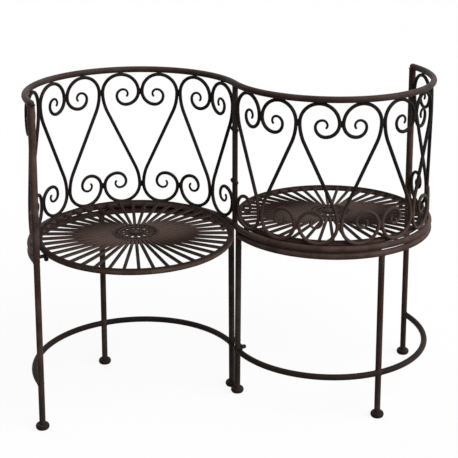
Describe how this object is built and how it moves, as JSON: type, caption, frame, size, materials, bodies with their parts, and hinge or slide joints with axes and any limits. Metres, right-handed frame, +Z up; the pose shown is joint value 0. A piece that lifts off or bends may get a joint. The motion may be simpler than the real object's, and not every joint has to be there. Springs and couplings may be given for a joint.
{
  "type": "conversation bench",
  "caption": "S-shaped steel garden seat: round sunburst seats that face opposite ways inside a curved scrollwork back, on tube legs with stretchers and pad feet.",
  "frame": {"origin": "on the floor at the upright centre line of the bench, between the two seats", "axes": "+X along the bench from the left seat to the right seat, +Z up, +Y towards the left seat's back"},
  "size_m": [1.0456, 0.5398, 0.8075],
  "materials": {
    "frame_paint": "satin",
    "seat_paint": "satin",
    "fasteners": "satin"
  },
  "bodies": {
    "root": {"bolts": "fasteners", "cap_nuts": "fasteners", "left_back_rail": "frame_paint", "left_centre_foot": "frame_paint", "left_centre_leg": "frame_paint", "left_centre_stile": "frame_paint", "left_end_foot": "frame_paint", "left_end_leg": "frame_paint", "left_end_post": "frame_paint", "left_hub_plate": "seat_paint", "left_inner_stretcher": "frame_paint", "left_mid_foot": "frame_paint", "left_mid_leg": "frame_paint", "left_outer_stretcher": "frame_paint", "left_rosette": "seat_paint", "left_scroll_1": "frame_paint", "left_scroll_2": "frame_paint", "left_scroll_3": "frame_paint", "left_scroll_4": "frame_paint", "left_scroll_5": "frame_paint", "left_scroll_6": "frame_paint", "left_scroll_7": "frame_paint", "left_scroll_8": "frame_paint", "left_seat_lugs": "seat_paint", "left_seat_ring": "seat_paint", "left_seat_slats": "seat_paint", "left_support_rail": "frame_paint", "left_top_rail": "frame_paint", "leg_strap": "frame_paint", "right_back_rail": "frame_paint", "right_centre_foot": "frame_paint", "right_centre_leg": "frame_paint", "right_centre_stile": "frame_paint", "right_end_foot": "frame_paint", "right_end_leg": "frame_paint", "right_end_post": "frame_paint", "right_hub_plate": "seat_paint", "right_inner_stretcher": "frame_paint", "right_mid_foot": "frame_paint", "right_mid_leg": "frame_paint", "right_outer_stretcher": "frame_paint", "right_rosette": "seat_paint", "right_scroll_1": "frame_paint", "right_scroll_2": "frame_paint", "right_scroll_3": "frame_paint", "right_scroll_4": "frame_paint", "right_scroll_5": "frame_paint", "right_scroll_6": "frame_paint", "right_scroll_7": "frame_paint", "right_scroll_8": "frame_paint", "right_seat_lugs": "seat_paint", "right_seat_ring": "seat_paint", "right_seat_slats": "seat_paint", "right_support_rail": "frame_paint", "right_top_rail": "frame_paint", "washers": "fasteners"}
  },
  "joints": []
}
